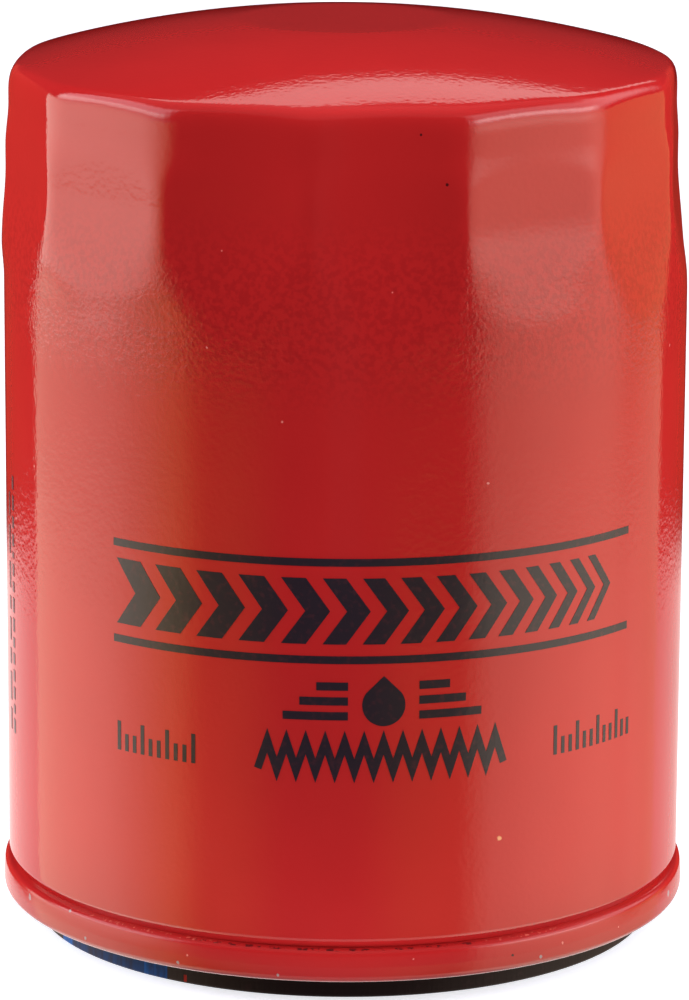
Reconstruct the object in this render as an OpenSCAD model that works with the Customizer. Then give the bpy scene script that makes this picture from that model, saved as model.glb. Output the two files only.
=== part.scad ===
// Spin-on engine oil filter, standing on its gasket with the domed end up.
// Origin: centre of the gasket's sealing face. +Z runs along the can's axis to the dome.

/* [Can] */
// Outer diameter of the can's wall
can_d = 67.6; // [66:0.1:70]
// Height from the gasket's face to the flat on the dome's crown
total_h = 90.4; // [86:0.1:110]
// Sheet thickness of the can and of the seaming lid
sheet = 0.5; // [0.4:0.05:0.5]
// Radius of the dome's shallow cap
dome_r = 115.5; // [90:0.5:200]
// Diameter of the round flat on the crown
crown_flat_d = 20.6; // [16:0.1:22]
// Radius of the shoulder between wall and dome
shoulder_r = 3; // [2:0.1:5]

/* [Wrench flats] */
// Number of flats round the closed end
flats = 14; // [12:1:16]
// Direction of one flat's middle, turned from the front
flat_turn = 7.2; // [0:0.1:25]
// Depth of each flat's middle below the wall
flat_depth = 1.15; // [0.85:0.05:1.3]
// Height where each flat starts to cut into the wall
flat_start_z = 66.6; // [60:0.1:70]
// Height where each flat reaches its full depth
flat_full_z = 74.5; // [71:0.1:80]

/* [Seam] */
// Outer diameter of the rolled seam
seam_d = 68.6; // [68.3:0.1:72]
// Height of the seam's lower edge
seam_z = 2.5; // [2:0.1:3.5]
// Height of the seam from edge to edge
seam_h = 3.4; // [3.2:0.1:4]
// Height where the wall turns into the crease above the seam
crease_z = 6.6; // [6.5:0.05:7.5]

/* [Gasket] */
// Outer diameter of the gasket
gasket_od = 62; // [60:0.1:62.4]
// Inner diameter of the gasket
gasket_id = 55.3; // [55:0.1:56]
// Thickness of the gasket
gasket_h = 5.2; // [4.8:0.1:5.6]

/* [Thread plate] */
// Minor diameter of the M20 x 1.5 thread
thread_minor_d = 18.38; // [18.3:0.01:18.5]
// Thickness of the plate
plate_t = 3.2; // [2.5:0.1:4]
// Height of the threaded boss above the plate's underside
boss_h = 8.5; // [7:0.1:9]
// Outer diameter of the boss
boss_d = 24.8; // [24:0.1:25]
// Number of inlet holes
inlets = 8; // [6:1:8]
// Diameter of each inlet hole
inlet_d = 6.2; // [5:0.1:6.4]
// Diameter of the circle through the inlet holes
inlet_circle_d = 37; // [36:0.5:38]

/* [Anti-drainback valve] */
// Outer diameter of the skirt's lip
skirt_d = 48.4; // [46:0.1:52]
// Thickness of the skirt
skirt_t = 0.9; // [0.7:0.1:1.2]

/* [Element] */
// Outer diameter of the pleated paper
media_od = 59.2; // [55:0.1:59.2]
// Number of pleats
pleats = 52; // [40:1:56]
// Height of the base end cap's underside
element_z = 16.4; // [16.4:0.1:17]
// Height of the element over both end caps
element_h = 58.8; // [56:0.1:59]
// Outer diameter of the centre tube
tube_d = 29.4; // [29:0.1:29.6]

/* [Springs] */
// Wire diameter of the bypass spring
bypass_wire_d = 1; // [0.8:0.1:1.2]
// Wire diameter of the element spring
element_wire_d = 2; // [1.6:0.1:2.4]

/* [Hidden] */
$fn = 96;

// Clearances: pressed layers of sheet, sealing faces that meet, and parts that slide
layer_gap = 0.04;
seal_gap = 0.05;
slide_gap = 0.3;
// Cutters run this far past what they cut
over = 2;

// Can and seam
can_r = can_d / 2;
flat_r = can_r - flat_depth;
seam_r = seam_d / 2;
seam_top = seam_z + seam_h;
layer = sheet + layer_gap;
// Outer radius of each sheet in the seam, counted from outside: lid, can hook, lid hook, can wall, lid
function layer_r(i) = seam_r - i * layer;
hook_top = seam_top - sheet - 0.3;

// Thread plate
plate_z = gasket_h + sheet;
plate_top = plate_z + plate_t;
boss_top = plate_z + boss_h;
boss_r = boss_d / 2;
thread_r = thread_minor_d / 2;
thread_chamfer = 0.8;
plate_r = layer_r(4) - sheet - 0.2;
inlet_circle_r = inlet_circle_d / 2;

// Anti-drainback valve
hub_r = 15;
hub_bore_r = 10.4;
skirt_r = skirt_d / 2;
skirt_rise = 4;

// Element
cap_t = 0.4;
potting_t = 1.2;
tube_r = tube_d / 2;
media_r = media_od / 2;
media_in_r = tube_r + 0.5;
pleat_wall = 3.2;
cap_r = media_r + 0.8;
cap_rim_h = 3.4;
cap_bore_r = hub_bore_r + 0.5;
element_top = element_z + element_h;
media_z = element_z + cap_t + potting_t;
media_h = element_h - 2 * (cap_t + potting_t);

// Bypass valve
seat_t = 0.5;
seat_port_r = 7;
seat_flange_r = 13.5;
seat_collar_r = 11.85;
seat_collar_h = 3.7;
cage_r = seat_collar_r - seat_t - layer_gap;
cage_z = element_top - 13.2;
cage_h = 12.6;
poppet_r = 9.6;
poppet_t = 0.6;
seal_t = 1;
seal_top = element_top - seal_gap;
poppet_top = seal_top - seal_t;
stem_r = 1.5;
stem_fit = 0.05;
stem_below = 2.5;

// A ring of rectangular section
module ring(r_in, r_out, z0, z1) {
    rotate_extrude()
        translate([r_in, z0])
            square([r_out - r_in, z1 - z0]);
}

// Points of an arc about [r, z], from one angle to another
function arc(r, z, radius, from, to, steps) = [
    for (i = [0:steps])
        let (a = from + (to - from) * i / steps)
            [r + radius * cos(a), z + radius * sin(a)]
];

// Height of the centre of the dome's sphere
dome_z = total_h - sqrt(pow(dome_r, 2) - pow(crown_flat_d / 2, 2));
// Height of the shoulder arc's centre, where the arc meets the dome's cap smoothly
shoulder_z = dome_z + sqrt(pow(dome_r - shoulder_r, 2) - pow(can_r - shoulder_r, 2));
// Angle above the horizontal at which shoulder and dome meet
meet_angle = acos((can_r - shoulder_r) / (dome_r - shoulder_r));

// Outline of the can's form from its axis, set in from the outside by inset, above z0
function can_outline(inset, z0) = concat(
    [[0, z0], [can_r - inset, z0]],
    arc(can_r - shoulder_r, shoulder_z, shoulder_r - inset, 0, meet_angle, 12),
    arc(0, dome_z, dome_r - inset, meet_angle + 1, crown_angle(inset), 12),
    [[0, total_h - inset]]
);

// Angle above the horizontal at which the dome's cap ends at the crown's flat
function crown_angle(inset) = asin((total_h - inset - dome_z) / (dome_r - inset));

// Everything outside one flat and its sloping run-out
module flat_cutter(inset) {
    slope = (flat_full_z - flat_start_z) / (can_r - flat_r);
    rotate([90, 0, 0])
        translate([-inset, 0, -can_r / 2])
            linear_extrude(can_r)
                polygon([
                    [flat_r, flat_full_z],
                    [flat_r, total_h],
                    [can_r + over, total_h],
                    [can_r + over, flat_start_z - over * slope]
                ]);
}

// The can's solid form, set in by inset on every side
module can_form(inset, z0) {
    difference() {
        rotate_extrude()
            polygon(can_outline(inset, z0));
        for (i = [0:flats - 1])
            rotate(flat_turn - 90 + i * 360 / flats)
                flat_cutter(inset);
    }
}

// The can's edge: it turns in above the seam, runs down inside it and hooks out and up
module can_hook() {
    wall = layer_r(3);
    hook = layer_r(1);
    flange_z = seam_z + layer;
    crease_top = crease_z + sheet * 0.7;
    rotate_extrude()
        polygon([
            [can_r, crease_top + over],
            [can_r, crease_z],
            [wall, seam_top + 0.1],
            [wall, flange_z + sheet],
            [hook - sheet, flange_z + sheet],
            [hook - sheet, hook_top],
            [hook, hook_top],
            [hook, flange_z],
            [wall - sheet, flange_z],
            [wall - sheet, seam_top + 0.1 + sheet * 0.7],
            [can_r - sheet, crease_top],
            [can_r - sheet, crease_top + over]
        ]);
}

module can_shell() {
    z0 = crease_z + sheet * 0.7 + over;
    color("crimson") {
        difference() {
            can_form(0, z0);
            can_form(sheet, z0 - over);
        }
        can_hook();
    }
}

// Stamped lid: rolled over the can's hook outside, gasket groove and retaining ridge inside
module seaming_lid() {
    inner = layer_r(4);
    groove_r = gasket_id / 2 - 0.15;
    ridge_w = 1.6;
    ridge_z = 2.8;
    weld_land_r = 23.6;
    color("firebrick")
        rotate_extrude()
            union() {
                leg(seam_r - sheet, seam_r, seam_z, seam_top);
                leg(layer_r(2) - sheet, seam_r, seam_top - sheet, seam_top);
                leg(layer_r(2) - sheet, layer_r(2), seam_z + layer + sheet + layer_gap, seam_top);
                leg(inner - sheet, seam_r, seam_z, seam_z + sheet);
                leg(inner - sheet, inner, seam_z, plate_z);
                leg(groove_r - sheet, inner, gasket_h, plate_z);
                leg(groove_r - sheet, groove_r, ridge_z, plate_z);
                leg(groove_r - ridge_w, groove_r, ridge_z, ridge_z + sheet);
                leg(groove_r - ridge_w, groove_r - ridge_w + sheet, ridge_z, plate_z);
                leg(weld_land_r, groove_r - ridge_w + sheet, gasket_h, plate_z);
            }
}

// One straight leg of a sheet's section
module leg(r_in, r_out, z0, z1) {
    translate([r_in, z0])
        square([r_out - r_in, z1 - z0]);
}

// Bead of sealing compound in the pocket over the can's hook
module seam_compound() {
    r = layer_r(1);
    color("dimgray")
        ring(r - sheet, r, hook_top, seam_top - sheet);
}

// Thick plate with the threaded boss, whose plain bore has the thread's minor diameter
module thread_plate() {
    color("silver")
        difference() {
            rotate_extrude()
                polygon([
                    [thread_r + thread_chamfer, plate_z],
                    [plate_r, plate_z],
                    [plate_r, plate_top],
                    [boss_r, plate_top],
                    [boss_r, boss_top],
                    [thread_r + thread_chamfer, boss_top],
                    [thread_r, boss_top - thread_chamfer],
                    [thread_r, plate_z + thread_chamfer]
                ]);
            for (i = [0:inlets - 1])
                rotate(i * 360 / inlets)
                    translate([inlet_circle_r, 0, plate_z - over])
                        cylinder(d = inlet_d, h = plate_t + 2 * over);
        }
}

// Rubber ring of nearly square section with rounded edges on its sealing side
module base_gasket() {
    edge = 0.3;
    color("black")
        rotate_extrude()
            polygon(concat(
                [[gasket_od / 2, gasket_h], [gasket_id / 2, gasket_h]],
                arc(gasket_id / 2 + edge, edge, edge, 180, 270, 6),
                arc(gasket_od / 2 - edge, edge, edge, 270, 360, 6)
            ));
}

// Fixed hub of the anti-drainback valve: sits round the boss and carries the element
module drainback_hub() {
    spigot_h = 1.1;
    color("saddlebrown") {
        ring(boss_r, hub_r, plate_top, element_z);
        ring(hub_bore_r, boss_r, boss_top, element_z);
        ring(hub_bore_r, cap_bore_r, element_z, element_z + spigot_h);
    }
}

// Flexing skirt of the valve: a cone whose lip closes on the plate outside the inlet holes
module drainback_skirt() {
    root_r = hub_r + slide_gap;
    lip_z = plate_top + seal_gap;
    lip_w = 1.2;
    color("sienna")
        rotate_extrude()
            polygon([
                [root_r, lip_z + skirt_rise],
                [skirt_r - lip_w, lip_z],
                [skirt_r, lip_z],
                [skirt_r, lip_z + skirt_t * 0.6],
                [root_r, lip_z + skirt_rise + skirt_t]
            ]);
}

module base_end_cap() {
    color("lightsteelblue") {
        ring(cap_bore_r, cap_r, element_z, element_z + cap_t);
        ring(cap_r - cap_t, cap_r, element_z, element_z + cap_rim_h);
    }
}

module top_end_cap() {
    color("lightsteelblue") {
        ring(seat_collar_r, cap_r, element_top - cap_t, element_top);
        ring(cap_r - cap_t, cap_r, element_top - cap_rim_h, element_top);
    }
}

// Steel tube with staggered rows of holes
module center_tube() {
    rows = 9;
    around = 10;
    hole_d = 4.2;
    z0 = element_z + cap_t;
    h = element_h - 2 * cap_t;
    pitch = h / (rows + 1);
    color("gainsboro")
        difference() {
            ring(tube_r - cap_t, tube_r, z0, z0 + h);
            for (row = [1:rows], i = [0:around - 1])
                rotate((i + 0.25 + row % 2 / 2) * 360 / around)
                    translate([tube_r - over, 0, z0 + row * pitch])
                        rotate([0, 90, 0])
                            cylinder(d = hole_d, h = 2 * over);
        }
}

// Zigzag outline round the axis, between an outer and an inner radius
module pleat_star(tip_r, valley_r) {
    polygon([
        for (i = [0:2 * pleats - 1])
            let (a = i * 180 / pleats, r = i % 2 == 0 ? tip_r : valley_r)
                [r * cos(a), r * sin(a)]
    ]);
}

module pleated_media() {
    color("wheat")
        translate([0, 0, media_z])
            linear_extrude(media_h)
                difference() {
                    pleat_star(media_r, media_in_r + pleat_wall);
                    pleat_star(media_r - pleat_wall, media_in_r);
                }
}

// Folded strip that grips the paper's two ends, standing in one gap between pleats
module media_seam_clip() {
    clip_w = 1.4;
    slot_w = 0.8;
    clip_depth = 5;
    outer_r = media_r - 0.3;
    color("gray")
        rotate(180 / pleats)
            translate([outer_r - clip_depth, 0, media_z])
                linear_extrude(media_h)
                    difference() {
                        translate([0, -clip_w / 2])
                            square([clip_depth, clip_w]);
                        translate([-over, -slot_w / 2])
                            square([clip_depth + over - (clip_w - slot_w) / 2, slot_w]);
                    }
}

module bottom_adhesive() {
    color("darkorange")
        ring(tube_r, cap_r - cap_t, element_z + cap_t, media_z);
}

module top_adhesive() {
    color("darkorange")
        ring(tube_r, cap_r - cap_t, media_z + media_h, element_top - cap_t);
}

// Bypass seat: flange over the top cap, port in its middle, collar down through the cap
module bypass_seat() {
    color("lightgray") {
        ring(seat_port_r, seat_flange_r, element_top, element_top + seat_t);
        ring(seat_collar_r - seat_t, seat_collar_r, element_top - seat_collar_h, element_top);
    }
}

// Cup under the seat that holds the spring; windows let the oil out, the floor guides the stem
module bypass_cage() {
    windows = 4;
    window_w = 9;
    window_h = 7;
    window_z = cage_z + 1.6;
    color("darkgray")
        difference() {
            union() {
                ring(cage_r - seat_t, cage_r, cage_z, cage_z + cage_h);
                ring(stem_r + stem_fit, cage_r, cage_z, cage_z + seat_t);
            }
            for (i = [0:windows - 1])
                rotate(i * 360 / windows)
                    translate([cage_r / 2, -window_w / 2, window_z])
                        cube([cage_r, window_w, window_h]);
        }
}

// Valve plate with a short collar that keeps the spring in place
module bypass_poppet() {
    collar_r = 4.8;
    collar_h = 1.6;
    color("silver") {
        ring(stem_r, poppet_r, poppet_top - poppet_t, poppet_top);
        ring(collar_r - seat_t, collar_r, poppet_top - poppet_t - collar_h, poppet_top - poppet_t);
    }
}

module bypass_seal() {
    color("black")
        ring(stem_r, poppet_r - 0.4, poppet_top, seal_top);
}

// Rivet through seal and plate; its shank slides in the cage's floor
module bypass_stem() {
    head_r = 3;
    head_h = 0.6;
    foot = cage_z - stem_below;
    color("gray") {
        translate([0, 0, foot])
            cylinder(r = stem_r, h = seal_top - foot);
        translate([0, 0, seal_top])
            cylinder(r = head_r, h = head_h);
    }
}

// Round wire along a helix whose radius runs evenly from r0 to r1 between two heights
module coil(r0, r1, z0, z1, turns, wire_r) {
    per_turn = 20;
    sides = 8;
    last = round(turns * per_turn);
    points = [
        for (i = [0:last], k = [0:sides - 1])
            let (
                t = i / last,
                a = 360 * turns * t,
                b = 360 * k / sides,
                r = r0 + (r1 - r0) * t + wire_r * cos(b)
            )
                [r * cos(a), r * sin(a), z0 + (z1 - z0) * t + wire_r * sin(b)]
    ];
    walls = [
        for (i = [0:last - 1], k = [0:sides - 1])
            let (next = (k + 1) % sides)
                [i * sides + k, i * sides + next, (i + 1) * sides + next, (i + 1) * sides + k]
    ];
    ends = [
        [for (k = [0:sides - 1]) sides - 1 - k],
        [for (k = [0:sides - 1]) last * sides + k]
    ];
    polyhedron(points, concat(walls, ends));
}

module bypass_spring() {
    wire_r = bypass_wire_d / 2;
    mean_r = 6.6;
    low = cage_z + seat_t + wire_r + layer_gap;
    high = poppet_top - poppet_t - wire_r - layer_gap;
    color("slategray")
        coil(mean_r, mean_r, low, high, 5.5, wire_r);
}

// Cone spring that holds the element down: wide end on the top cap, narrow end in the dome
module element_spring() {
    wire_r = element_wire_d / 2;
    wide_r = 19;
    narrow_r = 12;
    dome_rise = sqrt(pow(dome_r, 2) - pow(narrow_r + wire_r, 2));
    high = dome_z + dome_rise - sheet - wire_r - layer_gap;
    color("slategray")
        coil(wide_r, narrow_r, element_top + wire_r + layer_gap, high, 3.25, wire_r);
}

can_shell();
seaming_lid();
seam_compound();
thread_plate();
base_gasket();
drainback_hub();
drainback_skirt();
base_end_cap();
top_end_cap();
center_tube();
pleated_media();
media_seam_clip();
bottom_adhesive();
top_adhesive();
bypass_seat();
bypass_cage();
bypass_poppet();
bypass_seal();
bypass_stem();
bypass_spring();
element_spring();
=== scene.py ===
"""Looks of the spin-on oil filter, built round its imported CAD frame. Lengths are in metres."""
import math
import random

import bmesh
import bpy
import numpy as np
from mathutils import Matrix, Vector


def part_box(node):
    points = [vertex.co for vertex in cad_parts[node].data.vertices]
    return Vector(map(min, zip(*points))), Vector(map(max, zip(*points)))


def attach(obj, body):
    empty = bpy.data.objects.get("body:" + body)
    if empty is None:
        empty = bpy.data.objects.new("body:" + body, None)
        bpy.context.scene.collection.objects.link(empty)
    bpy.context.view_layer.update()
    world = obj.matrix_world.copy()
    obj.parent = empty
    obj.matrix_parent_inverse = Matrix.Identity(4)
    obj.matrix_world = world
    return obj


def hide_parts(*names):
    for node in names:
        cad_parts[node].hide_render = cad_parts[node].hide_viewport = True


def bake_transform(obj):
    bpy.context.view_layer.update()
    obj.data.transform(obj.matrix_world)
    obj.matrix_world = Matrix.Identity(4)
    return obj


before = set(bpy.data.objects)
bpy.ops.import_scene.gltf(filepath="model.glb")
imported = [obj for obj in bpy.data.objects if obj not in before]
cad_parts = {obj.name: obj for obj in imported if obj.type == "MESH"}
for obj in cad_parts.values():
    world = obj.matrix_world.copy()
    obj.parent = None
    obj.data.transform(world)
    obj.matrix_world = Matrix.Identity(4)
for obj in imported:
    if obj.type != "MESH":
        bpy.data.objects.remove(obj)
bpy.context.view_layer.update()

MM = 0.001
RNG = random.Random(7)

# Places and sizes that the frame gives
CAN_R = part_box("can_shell")[1].x
CROWN_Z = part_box("can_shell")[1].z
SEAM_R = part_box("seaming_lid")[1].x
SEAM_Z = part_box("seaming_lid")[0].z
SEAM_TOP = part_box("seaming_lid")[1].z
GASKET_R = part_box("base_gasket")[1].x
GASKET_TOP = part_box("base_gasket")[1].z
PLATE_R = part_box("thread_plate")[1].x
PLATE_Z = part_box("thread_plate")[0].z
BOSS_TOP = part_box("thread_plate")[1].z
HUB_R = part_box("drainback_hub")[1].x
LIP_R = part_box("drainback_skirt")[1].x
LIP_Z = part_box("drainback_skirt")[0].z
ELEMENT_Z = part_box("base_end_cap")[0].z
MEDIA_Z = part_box("pleated_media")[0].z
MEDIA_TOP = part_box("pleated_media")[1].z
MEDIA_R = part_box("pleated_media")[1].x

# The can's form, as its drawing has it
SHEET = 0.5 * MM
CROWN_R = 10.3 * MM  # the level spot on top of the dome
DOME_R = 115.5 * MM
DOME_Z = CROWN_Z - math.sqrt(DOME_R ** 2 - CROWN_R ** 2)
SHOULDER_R = 3 * MM
FLATS = 14
FLAT_TURN = math.radians(7.2)
FLAT_START_Z = 66.6 * MM
FLAT_FULL_Z = 74.5 * MM
FLAT_R = CAN_R - 1.15 * MM
FLAT_BEND = 2 * MM  # half of the soft bend where a flat reaches its full depth
FLAT_EDGE, FLAT_LIP = 0.5 * MM, 1.9 * MM  # softness of a flat's sides, and of its top
PRESS_OFF = -0.23 * MM  # the flats' tool stood slightly to one side
CREASE_Z = 6.6 * MM
NECK_R = 33.3 * MM  # where the can turns down into the seam
LAYER = SHEET + 0.04 * MM  # one sheet of the double seam, and the gap beside it

# The parts inside, as their drawings have them
BOSS_R = 12.4 * MM
INLETS, INLET_R, INLET_CIRCLE_R = 8, 3.1 * MM, 18.5 * MM
WELDS, WELD_R, WELD_CIRCLE_R = 8, 1.2 * MM, 24.7 * MM
GASKET_IN_R = 27.65 * MM
PLEATS, PAPER, PLEAT_IN_R = 52, 0.55 * MM, 15.2 * MM


# ---------------------------------------------------------------- outlines and meshes

def arc(r, z, radius, start, end, steps):
    """Points of an arc about (r, z) between two angles in degrees."""
    angles = [math.radians(start + (end - start) * i / steps) for i in range(steps + 1)]
    return [(r + radius * math.cos(a), z + radius * math.sin(a)) for a in angles]


def rounded(corners, steps=5):
    """A closed outline from (r, z, radius) corners, each rounded by its own radius."""
    points = []
    for i, (r, z, radius) in enumerate(corners):
        here = Vector((r, z))
        before = Vector(corners[i - 1][:2]) - here
        after = Vector(corners[(i + 1) % len(corners)][:2]) - here
        if radius <= 0:
            points.append((r, z))
            continue
        half = before.angle(after) / 2
        reach = min(radius / math.tan(half), before.length * 0.49, after.length * 0.49)
        radius = reach * math.tan(half)
        u, v = before.normalized(), after.normalized()
        centre = here + (u + v).normalized() * (radius / math.sin(half))
        first, last = here + u * reach - centre, here + v * reach - centre
        turn = first.angle_signed(last)
        for k in range(steps + 1):
            spoke = Matrix.Rotation(-turn * k / steps, 2) @ first
            points.append(tuple(centre + spoke))
    return points


def mesh_piece(name, points, faces, sharp=32):
    """A mesh object with outward faces, smooth except along edges sharper than an angle."""
    mesh = bpy.data.meshes.new(name)
    mesh.from_pydata([tuple(p) for p in points], [], faces)
    bm = bmesh.new()
    bm.from_mesh(mesh)
    bmesh.ops.remove_doubles(bm, verts=bm.verts, dist=1e-7)
    bmesh.ops.recalc_face_normals(bm, faces=bm.faces)
    bm.to_mesh(mesh)
    bm.free()
    mesh.shade_smooth()
    mesh.set_sharp_from_angle(angle=math.radians(sharp))
    piece = bpy.data.objects.new(name, mesh)
    bpy.context.scene.collection.objects.link(piece)
    return piece


def lathe(name, outline, around, shape=None, sharp=32):
    """A ring: a closed outline turned round Z. The angle starts at the front and runs to +X."""
    points, faces, n = [], [], len(outline)
    for i in range(around):
        theta = 2 * math.pi * i / around
        for r, z in outline:
            if shape:
                r, z = shape(r, z, theta)
            points.append((r * math.sin(theta), -r * math.cos(theta), z))
    for i in range(around):
        a, b = i * n, (i + 1) % around * n
        for k in range(n):
            m = (k + 1) % n
            faces.append((a + k, a + m, b + m, b + k))
    return mesh_piece(name, points, faces, sharp)


def wire_along(path, radius, sides=14):
    """Points and faces of a round wire along a path, with flat ends."""
    path = [Vector(p) for p in path]
    points, faces = [], []
    for i, p in enumerate(path):
        ahead = (path[min(i + 1, len(path) - 1)] - path[max(i - 1, 0)]).normalized()
        out = Vector((p.x, p.y, 0)).normalized()
        up = ahead.cross(out).normalized()
        out = up.cross(ahead)
        for k in range(sides):
            a = 2 * math.pi * k / sides
            points.append(p + (out * math.cos(a) + up * math.sin(a)) * radius)
    for i in range(len(path) - 1):
        for k in range(sides):
            m = (k + 1) % sides
            a, b = i * sides, (i + 1) * sides
            faces.append([a + k, a + m, b + m, b + k])
    faces.append(list(range(sides)))
    faces.append([(len(path) - 1) * sides + k for k in range(sides)])
    return points, faces


def smoothstep(x, low, high):
    """0 at low and 1 at high, level at both. With low over high it falls instead."""
    t = min(max((x - low) / (high - low), 0), 1)
    return t * t * (3 - 2 * t)


# ---------------------------------------------------------------- node materials

class Nodes:
    """A node tree under construction, with short calls for the nodes that it needs."""

    def __init__(self, tree, coordinates):
        self.tree = tree
        self.coordinates = self.node("ShaderNodeTexCoord").outputs[coordinates]

    def node(self, kind, **settings):
        made = self.tree.nodes.new(kind)
        for key, value in settings.items():
            setattr(made, key, value)
        return made

    def put(self, socket, value):
        """Links a socket to another node's output, or sets its number or colour."""
        if isinstance(value, bpy.types.NodeSocket):
            self.tree.links.new(value, socket)
        elif isinstance(value, tuple) and len(value) == 3 and socket.type == "RGBA":
            socket.default_value = (*value, 1)
        else:
            socket.default_value = value

    def math(self, operation, *values):
        made = self.node("ShaderNodeMath", operation=operation)
        for socket, value in zip(made.inputs, values):
            self.put(socket, value)
        return made.outputs[0]

    def split(self):
        made = self.node("ShaderNodeSeparateXYZ")
        self.put(made.inputs[0], self.coordinates)
        return made.outputs

    def angle(self):
        """Angle about Z in degrees: 0 at the front, growing towards +X."""
        x, y, _ = self.split()
        return self.math("DEGREES", self.math("ARCTAN2", x, self.math("MULTIPLY", y, -1.0)))

    def radius(self):
        """Distance from the can's axis."""
        x, y, _ = self.split()
        return self.math("SQRT", self.math("ADD", self.math("POWER", x, 2.0), self.math("POWER", y, 2.0)))

    def noise(self, size, detail=2.0, stretch=(1, 1, 1), rough=0.5):
        """Soft noise whose grains are about size across, in metres."""
        mapping = self.node("ShaderNodeMapping")
        self.put(mapping.inputs["Vector"], self.coordinates)
        mapping.inputs["Scale"].default_value = stretch
        made = self.node("ShaderNodeTexNoise")
        self.put(made.inputs["Vector"], mapping.outputs[0])
        made.inputs["Scale"].default_value = 0.5 / size
        made.inputs["Detail"].default_value = detail
        made.inputs["Roughness"].default_value = rough
        return made.outputs["Fac"]

    def cells(self, size):
        """Angular cells about size across, each with a colour of its own."""
        made = self.node("ShaderNodeTexVoronoi")
        self.put(made.inputs["Vector"], self.coordinates)
        made.inputs["Scale"].default_value = 1 / size
        return made.outputs["Color"]

    def fade(self, value, low, high, start=0.0, end=1.0):
        """Runs smoothly from start to end as value goes from low to high."""
        made = self.node("ShaderNodeMapRange", interpolation_type="SMOOTHSTEP")
        for key, v in (("Value", value), ("From Min", low), ("From Max", high),
                       ("To Min", start), ("To Max", end)):
            self.put(made.inputs[key], v)
        return made.outputs["Result"]

    def band(self, value, low, high, soft):
        """1 between low and high, 0 outside, with soft edges."""
        rise = self.fade(value, low - soft / 2, low + soft / 2)
        fall = self.fade(value, high - soft / 2, high + soft / 2, 1.0, 0.0)
        return self.math("MULTIPLY", rise, fall)

    def spots(self, places, ragged):
        """1 within each small spot of (degrees from the front, height in mm, half width in mm)."""
        flat = self.node("ShaderNodeCombineXYZ")
        self.put(flat.inputs[0], self.math("MULTIPLY", self.angle(), math.radians(CAN_R)))
        self.put(flat.inputs[1], self.split()[2])
        found = 0.0
        for degrees, height, half in places:
            away = self.node("ShaderNodeVectorMath", operation="DISTANCE")
            self.put(away.inputs[0], flat.outputs[0])
            away.inputs[1].default_value = (math.radians(degrees) * CAN_R, height * MM, 0)
            distance = self.math("ADD", away.outputs["Value"], ragged)
            spot = self.fade(distance, 0.6 * half * MM, 1.3 * half * MM, 1.0, 0.0)
            found = self.math("MAXIMUM", found, spot)
        return found

    def mix(self, share, a, b):
        """Colour a where share is 0, b where it is 1."""
        made = self.node("ShaderNodeMix", data_type="RGBA")
        self.put(made.inputs["Factor"], share)
        self.put(made.inputs["A"], a)
        self.put(made.inputs["B"], b)
        return made.outputs["Result"]

    def bump(self, height, depth, after=None):
        """Bump whose full height is depth, in metres, over another bump where there is one."""
        made = self.node("ShaderNodeBump")
        made.inputs["Strength"].default_value = 1.0
        made.inputs["Distance"].default_value = depth
        self.put(made.inputs["Height"], height)
        if after:
            self.put(made.inputs["Normal"], after)
        return made.outputs["Normal"]


class Look(Nodes):
    """A material round one Principled surface. Values that are the same all over are set on it."""

    def __init__(self, name, color, roughness, metallic=0.0, **settings):
        self.material = bpy.data.materials.new(name)
        self.material.use_nodes = True
        super().__init__(self.material.node_tree, "Object")
        self.surface = self.tree.nodes["Principled BSDF"]
        self.surface.inputs["Base Color"].default_value = (*color, 1)
        self.surface.inputs["Roughness"].default_value = roughness
        self.surface.inputs["Metallic"].default_value = metallic
        for key, value in settings.items():
            self.surface.inputs[key.replace("_", " ")].default_value = value

    def use(self, **sockets):
        """Links node outputs to the surface's own sockets."""
        for key, value in sockets.items():
            self.put(self.surface.inputs[key.replace("_", " ")], value)
        return self.material


def dress(piece, material):
    piece.data.materials.clear()
    piece.data.materials.append(material)
    return piece


def ink_black(name):
    """Thin black ink that lets a little of the red through where it ran thin."""
    look = Look(name, (0.03, 0.018, 0.027), 0.2)
    thin = look.fade(look.noise(0.3 * MM, 3), 0.5, 0.72)
    color = look.mix(thin, (0.022, 0.014, 0.022), (0.045, 0.016, 0.024))
    return look.use(Base_Color=color, Normal=paint_bump(look))


PAINT_RED = (0.53, 0.0190, 0.0200)
PAINT_DEEP = (0.47, 0.0165, 0.0180)
# Darker red that paints the shade of the stretched band's speckles
SPECKLE_SHADE_RED = (0.40, 0.0140, 0.0160)

# Small marks on the paint: degrees from the front, height and half width in mm
DUST = ((-10, 57.2, 0.11), (68.5, 60.4, 0.12), (-22.5, 63.8, 0.11), (7.5, 69.5, 0.08),
        (23.5, 50.9, 0.11), (-20.5, 72.9, 0.09), (-63, 48.7, 0.1), (-25.7, 4.2, 0.1),
        (11.5, 4.8, 0.09), (38.5, 4.3, 0.08), (52, 4.1, 0.08))
YELLOW = ((26.3, 15.9, 0.22),)
DARK = ((16.4, 79.4, 0.16), (12.2, 84.1, 0.12), (28.6, 4.1, 0.12))
CHIPS = ((-64.5, 4.8, 0.32), (71.5, 4.3, 0.34), (-46.8, 3.4, 0.17), (-51.2, 5.5, 0.16),
         (-27.4, 3.3, 0.14), (-10.3, 3.2, 0.12), (34, 3.4, 0.16))
MARKS = ((DUST, (0.75, 0.22, 0.2)), (YELLOW, (0.8, 0.36, 0.16)), (DARK, (0.06, 0.006, 0.008)),
         (CHIPS, (0.42, 0.3, 0.31)))
PIT_Z, PIT_HALF = 5.75 * MM, 0.07 * MM  # the crease over the seam, where the paint broke; painted shade in its cracks, painted glints beside them


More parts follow.
